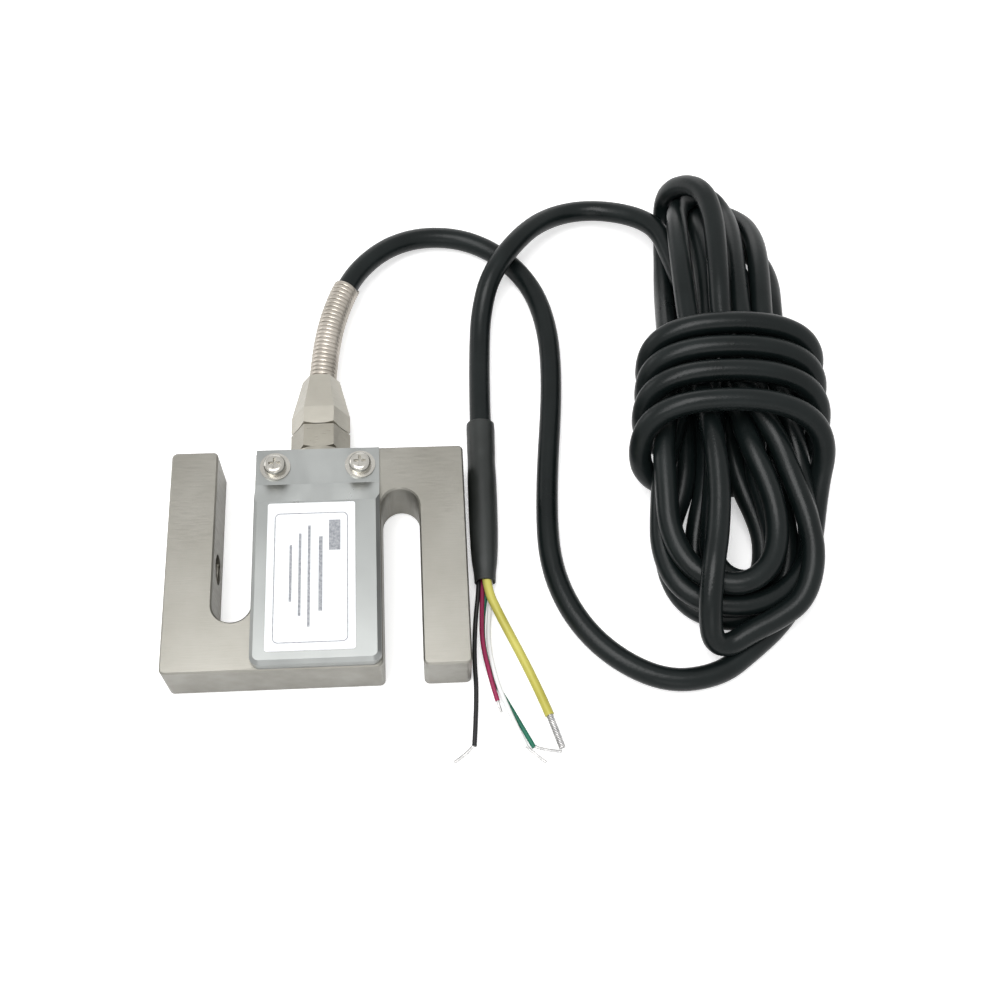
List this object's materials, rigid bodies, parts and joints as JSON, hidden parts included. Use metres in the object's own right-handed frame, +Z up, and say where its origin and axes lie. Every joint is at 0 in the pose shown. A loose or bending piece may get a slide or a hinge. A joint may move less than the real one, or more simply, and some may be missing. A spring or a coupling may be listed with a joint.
{
  "type": "s type load cell",
  "caption": "S-shaped nickel-plated load cell with a screwed front cover, a cable gland with a spring guard, and a hanked screened cable with stripped cores.",
  "frame": {"origin": "centre of the back face that the cell rests on", "axes": "+X along the load axis through both threaded holes, +Y towards the cable gland, +Z up out of the cover"},
  "size_m": [0.1449, 0.1439, 0.0294],
  "materials": {
    "body_steel": "satin nickel plate",
    "cover_steel": "bright nickel plate",
    "label": "smooth white film",
    "screw": "polished zinc plate",
    "board": "glass-epoxy board",
    "resistor": "matt",
    "jumper": "enamelled copper wire",
    "gauge_foil": "clear amber film",
    "silicone": "satin",
    "gland": "satin nickel plate",
    "seal_rubber": "matt",
    "clamp_brass": "turned",
    "spring": "drawn wire",
    "cable_jacket": "soft sheen",
    "heat_shrink": "satin",
    "core_yellow": "satin",
    "core_black": "satin",
    "core_red": "satin",
    "core_green": "satin",
    "core_white": "satin",
    "tinned_copper": "tinned strands"
  },
  "bodies": {
    "root": {"load_cell_body": "body_steel", "front_cover": "cover_steel", "label": "label", "cover_screw_left": "screw", "cover_screw_right": "screw", "screw_washer_left": "screw", "screw_washer_right": "screw", "terminal_board": "board", "balance_resistor": "resistor", "gauge_jumper_wires": "jumper", "strain_gauge_1": "gauge_foil", "strain_gauge_2": "gauge_foil", "strain_gauge_3": "gauge_foil", "strain_gauge_4": "gauge_foil", "inner_core_red": "core_red", "inner_core_black": "core_black", "inner_core_white": "core_white", "inner_core_green": "core_green", "window_fill": "silicone", "gland_washer": "gland", "gland_body": "gland", "gland_seal": "seal_rubber", "gland_clamp_washer": "clamp_brass", "gland_cap_nut": "gland", "spring_guard": "spring", "cable_lead": "cable_jacket", "cable_hank": "cable_jacket", "cable_tail": "cable_jacket", "heat_shrink_sleeve": "heat_shrink", "shield_sleeve": "core_yellow", "shield_sleeve_bare_end": "tinned_copper", "core_black": "core_black", "core_black_bare_end": "tinned_copper", "core_red": "core_red", "core_red_bare_end": "tinned_copper", "core_green": "core_green", "core_green_bare_end": "tinned_copper", "core_white": "core_white", "core_white_bare_end": "tinned_copper"}
  },
  "joints": []
}
